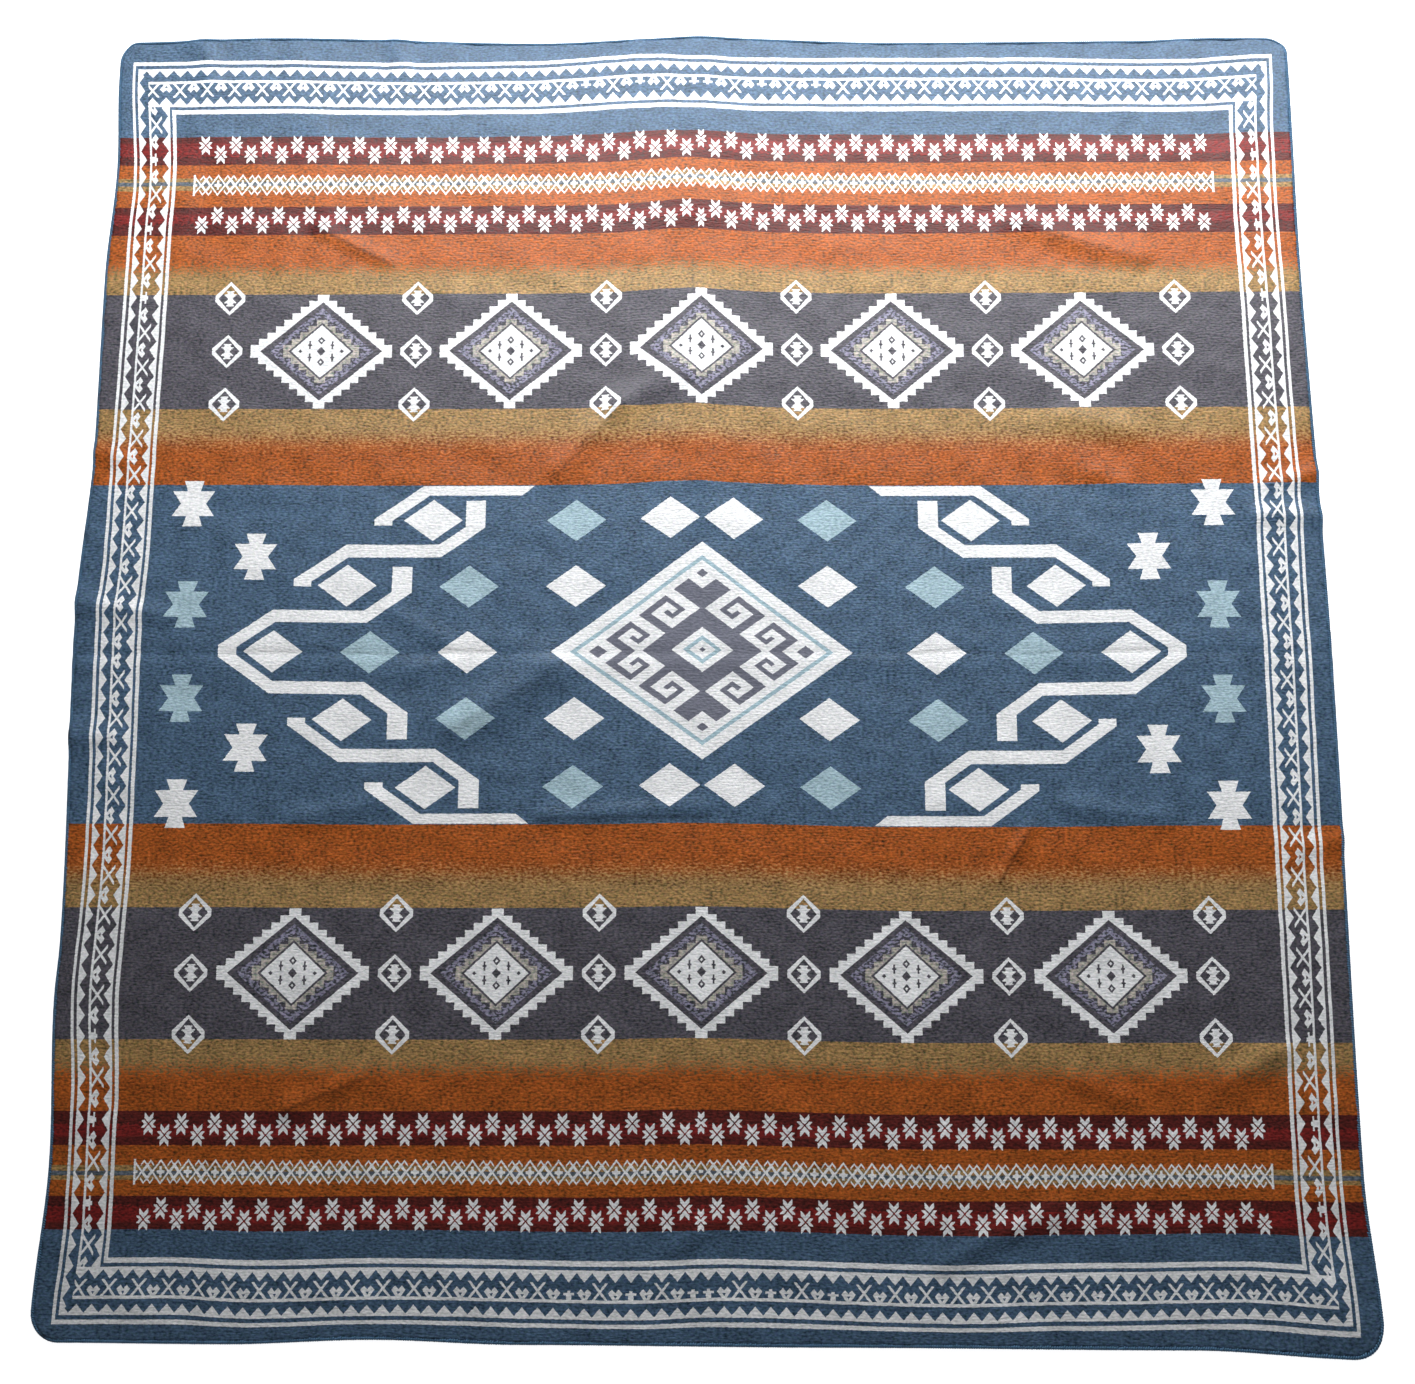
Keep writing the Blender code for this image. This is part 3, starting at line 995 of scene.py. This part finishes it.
# Medallions and the small outlined diamonds between them
MEDALLION_ROW = 531.5
MEDALLION_HALF_PITCH = 165.0
MEDALLION_LAST = 825.0
FRAME_HALF = 123.5
FRAME_FLAT = 11.7
FRAME_STEP = (14.2, 11.7)
FRAME_TOP = 105.6
FRAME_INSIDE = (106.5, 91.0)
LAVENDER_OUTSIDE = (91.0, 80.0)
LAVENDER_INSIDE = 0.845
LAVENDER_RAGGED = 0.10
LAVENDER_COVER = (1.6, 0.85)
GREY_HALF = 66.0
GREY_TOP = 58.8
GREY_INSIDE = (57.0, 53.5)
HEART = (52.0, 49.0)
KNOT = (7.6, 8.4)
RING_AT = (0.0, 20.0)
RING = (6.4, 7.4)
RING_HOLE = 0.40
BARS_AT = (19.5, 11.5)
UPRIGHT_BAR = (1.5, 7.4)
LEVEL_BAR = (3.3, 1.5)
DOT_AT = (36.0, 0.0)
DOT = (3.6, 3.6)
SMALL_SPACING = 98.0
SMALL_HALF = (33.0, 31.0)
SMALL_SIDE = 26.9
SMALL_INSIDE = (21.5, 24.5)
SMALL_ROWS_REACH = 142.1
SMALL_LAST = 885.0
WAISTED_ROWS = (-1.0, 2.0, 4.0, 6.0, 8.2, 10.2, 11.6, 14.0)
WAISTED_HALVES = (4.6, 6.6, 8.8, 10.9, 5.6, 4.8, 6.8)


def draw_medallions(place, blur):
    """Stepped medallions, and columns of three small diamonds with a waisted cross."""
    across, along = split(place)
    p = across.fold(MEDALLION_HALF_PITCH)
    q = (along - MEDALLION_ROW).size()
    offset = pair(p, q)
    here = across.below(MEDALLION_LAST)
    stair = ((q - FRAME_FLAT) * (1.0 / FRAME_STEP[1])).math("CEIL").either(0.0)
    frame_edge = p.below(stair.line(-FRAME_STEP[0], FRAME_HALF)).both(q.below(FRAME_TOP)).both(here)
    grey_edge = p.below(stair.line(-FRAME_STEP[0], GREY_HALF)).both(q.below(GREY_TOP))
    dark = diamond(offset, FRAME_INSIDE).below(1.0).both(here)
    band = diamond(offset, LAVENDER_OUTSIDE)
    lavender = band.below(1.0).both((band + blur * LAVENDER_RAGGED).above(LAVENDER_INSIDE)).both(here)
    lavender = lavender * blur.line(*LAVENDER_COVER).both(1.0).either(0.0)
    line = diamond(offset, GREY_INSIDE).below(1.0)
    heart = diamond(offset, HEART).below(1.0).both(here)

    ring = diamond(from_centre(offset, RING_AT), RING)
    bars_at = split(from_centre(offset, BARS_AT))
    marks = diamond(offset, KNOT).below(1.0).either(ring.below(1.0).both(ring.above(RING_HOLE)))
    marks = marks.either(box(*bars_at, UPRIGHT_BAR)).either(box(*bars_at, LEVEL_BAR))
    marks = marks.either(diamond(from_centre(offset, DOT_AT), DOT).below(1.0))

    small_p = p.line(-1.0, MEDALLION_HALF_PITCH)
    small_q = q.fold(SMALL_SPACING / 2)
    small_offset = pair(small_p, small_q)
    outline = diamond(small_offset, SMALL_HALF).below(1.0).both(small_p.below(SMALL_SIDE))
    outline = outline.without(diamond(small_offset, SMALL_INSIDE).below(1.0))
    widest = max(WAISTED_HALVES)
    waist = stairs(small_q, WAISTED_ROWS, [half / widest for half in WAISTED_HALVES])
    waisted = (waist * widest - small_p).above(0.0)
    smalls = outline.either(waisted).both(box(across, q, (SMALL_LAST, SMALL_ROWS_REACH)))

    white = frame_edge.without(dark).either(heart.without(marks)).either(smalls)
    return white, lavender.without(grey_edge), grey_edge.both(here).without(line), dark


# The middle field: loose diamonds, crosses at the sides, and angular links
FIELD_DIAMOND = (50.0, 36.0)
WHITE_DIAMONDS = ((53.5, 226.2), (211.0, 112.8), (391.0, 0.0), (455.0, 227.6), (597.5, 114.4), (718.0, 0.0))
PALE_DIAMONDS = ((211.5, 226.6), (391.0, 112.6), (555.0, 0.0))
CROSS_SPLIT = (812.0, 168.0)
CROSS_X = (756.0, 868.0)
CROSS_Y = (163.0, 80.0, 256.0)
CROSS_TOP = 40.0
CROSS_ARM = 22.0
CROSS_ARMS_EDGE = (0.68, 21.5)
CROSS_STEM_EDGE = (0.333, 3.7)
LINK_SLANT = -0.70

# A link: its level bar, where its two slanted runs start and end, its upright stub, its far end, and where
# its square tip begins. Slants are given by their height at the middle line of the cloth.
Link = namedtuple("Link", "bar near far stub_side stub_top far_side far_low tip")
LINKS = (
    Link((271.0, 287.6), (0.0, 0.0), (594.6, 618.8), (0.0, 0.0), 0.0, 555.5, 219.0, 525.0),
    Link((163.3, 185.3), (471.3, 495.7), (581.6, 606.0), (366.3, 399.7), 262.0, 688.0, 112.0, 658.5),
    Link((50.4, 71.4), (444.1, 468.5), (552.0, 576.5), (488.0, 521.6), 147.0, 809.6, -1.0, 779.4),
)
SLANTED_END = 643.0
SLANTED_END_SLOPE = 1.25


def link_mask(across, along, link):
    """One link: a stub, a slant, a level bar and another slant, all of even width."""
    edges = []
    for side in (0, 1):
        near = across.line(LINK_SLANT, link.near[side]).either(link.bar[side])
        edges.append(near.both(across.line(LINK_SLANT, link.far[side])))
    stub = across.below(link.stub_side[1]) * link.stub_top
    upper = edges[1].either(stub)
    within = across.above(link.stub_side[0]).both(across.below(link.far_side)).both(along.above(link.far_low))
    within = within.both(along.below(max(link.stub_top, link.bar[1])))
    above_lower = (along - edges[0]).above(0.0)
    return (upper - along).above(0.0).both(above_lower.either(across.above(link.tip))).both(within)


def draw_field(place):
    """The figures of the middle field."""
    across, along = split(place)
    masks = []
    for centres in (WHITE_DIAMONDS, PALE_DIAMONDS):
        nearest = diamond(from_centre(place, centres[0]), FIELD_DIAMOND)
        for centre in centres[1:]:
            nearest = nearest.both(diamond(from_centre(place, centre), FIELD_DIAMOND))
        masks.append(nearest.below(1.0))

    outer = across.above(CROSS_SPLIT[0])
    high = along.above(CROSS_SPLIT[1])
    p = (across - outer.line(CROSS_X[1] - CROSS_X[0], CROSS_X[0])).size()
    outer_y = high.line(CROSS_Y[2] - CROSS_Y[1], CROSS_Y[1])
    q = (along - outer_y.pick(across.below(CROSS_SPLIT[0]), CROSS_Y[0])).size()
    arms = q.line(*CROSS_ARMS_EDGE)
    stem = q.line(*CROSS_STEM_EDGE)
    cross = (arms.pick(q.above(CROSS_ARM), stem) - p).above(0.0).both(q.below(CROSS_TOP))
    pale_cross = cross.both(outer).without(high)

    first, second, third = (link_mask(across, along, link) for link in LINKS)
    first = first.both((across + along * SLANTED_END_SLOPE).above(SLANTED_END))
    white = masks[0].either(cross.without(pale_cross)).either(first).either(second).either(third)
    return white, masks[1].either(pale_cross)


# The centre diamond. Its figure is charted along its own two slanting directions: spread grows from the
# middle outwards, and turn goes from the middle line across the cloth to the one along it.
CENTRE_HALF = (251.0, 184.0)
PALE_LINE = (0.828, 0.872)
EYE_RING = (0.088, 0.130)
EYE_DOT = 0.022
SPREAD_EDGES = (0.205, 0.395, 0.480, 0.530, 0.600, 0.675, 0.745)
TURN_EDGES = (
    -0.745, -0.670, -0.565, -0.370, -0.260, -0.210, -0.135, -0.085, 0.005, 0.095,
    0.200, 0.250, 0.320, 0.360, 0.440, 0.525, 0.625, 0.745,
)
HOOKS = (
    "######",
    "#.....",
    "######",
    "#.....",
    "#.####",
    "#.#..#",
    "#.##.#",
    "#....#",
    "######",
    "#.....",
    "#.####",
    "#.#..#",
    "#.##.#",
    "#....#",
    "######",
    "#.....",
    "######",
)


def draw_centre(place):
    """The centre diamond: a pale line, eight square hooks and a small eye."""
    spread = diamond(place, CENTRE_HALF)
    turn = diamond(place, (CENTRE_HALF[0], -CENTRE_HALF[1]))
    pale = between(spread, *PALE_LINE).either(between(spread, *EYE_RING))
    hooks = chart(chart_columns(spread, SPREAD_EDGES), turn, TURN_EDGES, HOOKS)
    return spread.below(1.0), pale, hooks.either(spread.below(EYE_DOT))


# The parts of the pattern that need only the place on the cloth, with their masks
PATTERNS = {
    "Middle field": (draw_field, ("White", "Pale")),
    "Centre diamond": (draw_centre, ("White", "Pale", "Ink")),
    "Star bands": (draw_stars, ("White",)),
    "Lozenge chain": (draw_chain, ("White",)),
    "Border": (draw_border, ("White",)),
}

# Brushed wool. The scales are turns a millimetre across and along, and the depths say how strongly flecks,
# clouds, wefts and hues vary. Threads stray by millimetres, and figures are calmer than the ground.
FLECK_SCALE = (0.17, 0.28)
CLOUD_SCALE = (0.030, 0.040)
WEFT_SCALE = (0.060, 0.34)
FLECK_DEPTH = 1.8
CLOUD_DEPTH = 0.40
WEFT_DEPTH = 0.32
HUE_DEPTH = 0.4
STRAY = 1.4
NAP_OF_FLECKS = 0.6
WHITE_CALMER = 0.70
PALE_CALMER = 0.55
EDGE_TINT = 0.6
NAP_STRENGTH = 0.75
NAP_HEIGHT = 0.0012

# Roughness from the flecks, and the level of specular light, of the cloth and of the edge yarn
CLOTH_ROUGHNESS = (0.30, 0.35)
CLOTH_SPECULAR = 0.33
YARN_ROUGHNESS = (0.30, 0.45)
YARN_SPECULAR = 0.40

VECTOR = "NodeSocketVector"
COLOUR = "NodeSocketColor"
NUMBER = "NodeSocketFloat"
MILLIMETRES = (1000.0, 1000.0, 1000.0)


def draw_wool(place):
    """How the wool's colour varies, the height of its nap and weave, its flecks, and how threads stray."""
    fleck, hue = noise(place, FLECK_SCALE, 1.0)
    cloud, _ = noise(place, CLOUD_SCALE, 0.0)
    weft, _ = noise(place, WEFT_SCALE, 0.0)
    shade = fleck.line(FLECK_DEPTH, -FLECK_DEPTH / 2) + cloud.line(CLOUD_DEPTH, -CLOUD_DEPTH / 2)
    shade = shade + weft.line(WEFT_DEPTH, -WEFT_DEPTH / 2)
    tint = hue.vector("MULTIPLY_ADD", (HUE_DEPTH, HUE_DEPTH, HUE_DEPTH), shade - HUE_DEPTH / 2)
    stray = hue.vector("MULTIPLY_ADD", (STRAY, STRAY, 0.0), (-STRAY / 2, -STRAY / 2, 0.0))
    return tint, fleck * NAP_OF_FLECKS + weft * (1.0 - NAP_OF_FLECKS), fleck, stray


def noise(place, scale, detail):
    """Smooth random shading with its own scale across and along, as a number and as a colour."""
    node = add_node(place.tree, "ShaderNodeTexNoise", noise_dimensions="2D")
    node.inputs["Scale"].default_value = 1.0
    node.inputs["Detail"].default_value = detail
    connect(place.tree, place.vector("MULTIPLY", (*scale, 1.0)), node.inputs["Vector"])
    return Reading(place.tree, node.outputs["Fac"]), Reading(place.tree, node.outputs["Color"])


def heathered(ground, tint, strength):
    """A colour varied by the wool's tint."""
    return tint.vector("MULTIPLY_ADD", strength, (1.0, 1.0, 1.0)).vector("MULTIPLY", ground)


def new_material(name):
    """A material with only its shader and output."""
    material = bpy.data.materials.new(name)
    material.use_nodes = True
    shader = material.node_tree.nodes["Principled BSDF"]
    return material, material.node_tree, shader


def cloth_material(colours):
    """The woven cloth, its pattern worked out from the place on the flat cloth."""
    material, tree, shader = new_material("woven wool")
    shades = {name: (*getattr(colours, name), 1.0) for name in colours.__annotations__}
    flat = attribute(tree, "flat_place").vector("MULTIPLY", MILLIMETRES)
    wool_outputs = {"Tint": VECTOR, "Height": NUMBER, "Fleck": NUMBER, "Stray": VECTOR}
    wool = use_group(tree, new_group("Brushed wool", draw_wool, {"Place": VECTOR}, wool_outputs), Place=flat)
    place = from_centre(flat.vector("ADD", wool["Stray"]), (0.0, 0.0))
    blur = wool["Fleck"].line(*BLUR)

    blurred = {"Place": VECTOR, "Blur": NUMBER}
    stripe_inputs = {**blurred, **dict.fromkeys(GROUND_DYES, COLOUR)}
    stripes = new_group("Stripes", draw_stripes, stripe_inputs, {"Colour": COLOUR})
    dyes = {name: shades[name.lower()] for name in GROUND_DYES}
    ground = use_group(tree, stripes, Place=place, Blur=blur, **dyes)["Colour"]

    medallion_masks = dict.fromkeys(("White", "Lavender", "Grey", "Dark"), NUMBER)
    medallions = new_group("Medallions", draw_medallions, blurred, medallion_masks)
    medallions = use_group(tree, medallions, Place=place, Blur=blur)
    ground = paint(tree, ground, shades["charcoal"], medallions["Dark"])
    ground = paint(tree, ground, shades["lavender"], medallions["Lavender"])
    ground = paint(tree, ground, shades["grey"], medallions["Grey"])

    white = medallions["White"]
    drawn = {}
    for name, (draw, masks) in PATTERNS.items():
        group = new_group(name, draw, {"Place": VECTOR}, dict.fromkeys(masks, NUMBER))
        drawn[name] = use_group(tree, group, Place=place)
        white = white.either(drawn[name]["White"])
    pale = drawn["Middle field"]["Pale"].either(drawn["Centre diamond"]["Pale"])
    ground = paint(tree, ground, shades["white"], white)
    ground = paint(tree, ground, shades["pale"], pale)
    ground = paint(tree, ground, shades["ink"], drawn["Centre diamond"]["Ink"])

    calm = white.line(-WHITE_CALMER, 1.0).both(pale.line(-PALE_CALMER, 1.0))
    woven = heathered(ground, wool["Tint"], calm)
    # Painted shade: a dark line mixed into the colour along each crease, on its side away from the window
    # light.
    from_shade_line, dark = split(attribute(tree, "painted_crease_shade"))
    line = (from_shade_line * from_shade_line).line(-1.0, 1.0).either(0.0)
    woven = paint(tree, woven, (0.0, 0.0, 0.0, 1.0), line * line * dark * PAINTED_SHADE_DARK)
    connect(tree, woven, shader.inputs["Base Color"])
    connect(tree, wool["Fleck"].line(*CLOTH_ROUGHNESS), shader.inputs["Roughness"])
    shader.inputs["Specular IOR Level"].default_value = CLOTH_SPECULAR
    bump = add_node(tree, "ShaderNodeBump")
    bump.inputs["Strength"].default_value = NAP_STRENGTH
    bump.inputs["Distance"].default_value = NAP_HEIGHT
    connect(tree, wool["Height"], bump.inputs["Height"])
    tree.links.new(bump.outputs[0], shader.inputs["Normal"])
    return material


def attribute(tree, name):
    """What the cloth's points hold under a name."""
    return Reading(tree, add_node(tree, "ShaderNodeAttribute", attribute_name=name).outputs["Vector"])


def edge_material(colours):
    """The overcast yarn: the same wool, seen over the cloth's own place in space."""
    material, tree, shader = new_material("edge yarn")
    place = Reading(tree, add_node(tree, "ShaderNodeTexCoord").outputs["Object"])
    place = place.vector("MULTIPLY", MILLIMETRES)
    wool = use_group(tree, bpy.data.node_groups["Brushed wool"], Place=place)
    yarn = heathered(tuple(colours.edge), wool["Tint"], (EDGE_TINT, EDGE_TINT, EDGE_TINT))
    connect(tree, yarn, shader.inputs["Base Color"])
    connect(tree, wool["Fleck"].line(*YARN_ROUGHNESS), shader.inputs["Roughness"])
    shader.inputs["Specular IOR Level"].default_value = YARN_SPECULAR
    return material


class BLANKET_OT_weave_cloth(bpy.types.Operator):
    """Weave the cloth and lay it on its creases"""

    bl_idname = "blanket.weave_cloth"
    bl_label = "Weave cloth"
    bl_options = {"REGISTER", "UNDO"}

    def execute(self, context):
        cloth = weave_cloth(context.scene.blanket_sizes)
        cloth.data.materials.append(cloth_material(context.scene.blanket_colours))
        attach(cloth, "root")
        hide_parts("blanket")
        return {"FINISHED"}


class BLANKET_OT_overcast_edge(bpy.types.Operator):
    bl_idname = "blanket.overcast_edge"
    bl_label = "Overcast edge"
    bl_options = {"REGISTER", "UNDO"}

    def execute(self, context):
        stitches = overcast_edge(context.scene.blanket_sizes)
        stitches.data.materials.append(edge_material(context.scene.blanket_colours))
        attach(stitches, "root")
        return {"FINISHED"}


def add_floor(size):
    """A pale floor that stays light at the edge of the picture."""
    bpy.ops.mesh.primitive_plane_add(size=size, location=(0.0, 0.0, CAD_BOX[0][2] - FLOOR_BELOW))
    floor = bpy.context.object
    floor.name = "floor"
    material, tree, shader = new_material("pale floor")
    shader.inputs["Base Color"].default_value = FLOOR_COLOUR
    shader.inputs["Roughness"].default_value = FLOOR_ROUGHNESS
    shader.inputs["Emission Color"].default_value = (1.0, 1.0, 1.0, 1.0)
    shader.inputs["Emission Strength"].default_value = FLOOR_GLOW
    floor.data.materials.append(material)


def add_lights(stage):
    """A soft window light beyond the head of the cloth, and an even fill."""
    light = bpy.data.lights.new("window", "AREA")
    light.energy = stage.window_power
    light.shape = "RECTANGLE"
    light.size, light.size_y = WINDOW_SIZE
    window = bpy.data.objects.new("window", light)
    window.location = WINDOW_PLACE
    window.rotation_euler = (math.radians(WINDOW_TILT), 0.0, 0.0)
    bpy.context.scene.collection.objects.link(window)
    world = bpy.data.worlds.new("even light")
    world.use_nodes = True
    sky = world.node_tree.nodes["Background"]
    sky.inputs["Color"].default_value = (1.0, 1.0, 1.0, 1.0)
    sky.inputs["Strength"].default_value = stage.fill_strength
    bpy.context.scene.world = world


def add_camera():
    """The camera of the photograph, over the foot half of the cloth."""
    lens = bpy.data.cameras.new("camera")
    lens.lens = CAMERA_LENS
    lens.sensor_width = SENSOR_WIDTH
    lens.sensor_fit = "HORIZONTAL"
    camera = bpy.data.objects.new("camera", lens)
    yaw = Matrix.Rotation(math.radians(CAMERA_YAW), 4, "Z")
    tilt = Matrix.Rotation(math.radians(CAMERA_TILT), 4, "X")
    roll = Matrix.Rotation(math.radians(CAMERA_ROLL), 4, "Z")
    camera.matrix_world = Matrix.Translation(np.array(CAMERA_PLACE) + SHIFT) @ yaw @ tilt @ roll
    bpy.context.scene.collection.objects.link(camera)
    bpy.context.scene.camera = camera


class BLANKET_OT_set_stage(bpy.types.Operator):
    """Put up the floor, the lights and the camera"""

    bl_idname = "blanket.set_stage"
    bl_label = "Set stage"
    bl_options = {"REGISTER", "UNDO"}

    def execute(self, context):
        stage = context.scene.blanket_stage
        add_floor(stage.floor_size)
        add_lights(stage)
        add_camera()
        context.scene.view_settings.view_transform = "Standard"
        return {"FINISHED"}


class BLANKET_PT_panel(bpy.types.Panel):
    """The blanket's steps and settings"""

    bl_idname = "BLANKET_PT_panel"
    bl_label = "Woven blanket"
    bl_space_type = "VIEW_3D"
    bl_region_type = "UI"
    bl_category = "Blanket"

    def draw(self, context):
        for step in STEPS:
            self.layout.operator(step.bl_idname)
        for group in SETTINGS:
            settings = getattr(context.scene, group)
            frame_box = self.layout.box()
            for name in settings.__annotations__:
                frame_box.prop(settings, name)


STEPS = (BLANKET_OT_weave_cloth, BLANKET_OT_overcast_edge, BLANKET_OT_set_stage)
SETTINGS = {"blanket_colours": BlanketColours, "blanket_sizes": BlanketSizes, "blanket_stage": StageSettings}
CLASSES = (*SETTINGS.values(), *STEPS, BLANKET_PT_panel)


def register():
    for each in CLASSES:
        bpy.utils.register_class(each)
    for name, settings in SETTINGS.items():
        setattr(bpy.types.Scene, name, PointerProperty(type=settings))


def unregister():
    for name in SETTINGS:
        delattr(bpy.types.Scene, name)
    for each in reversed(CLASSES):
        bpy.utils.unregister_class(each)


def main():
    register()
    bpy.ops.blanket.weave_cloth()
    bpy.ops.blanket.overcast_edge()
    bpy.ops.blanket.set_stage()


if __name__ == "__main__":
    main()
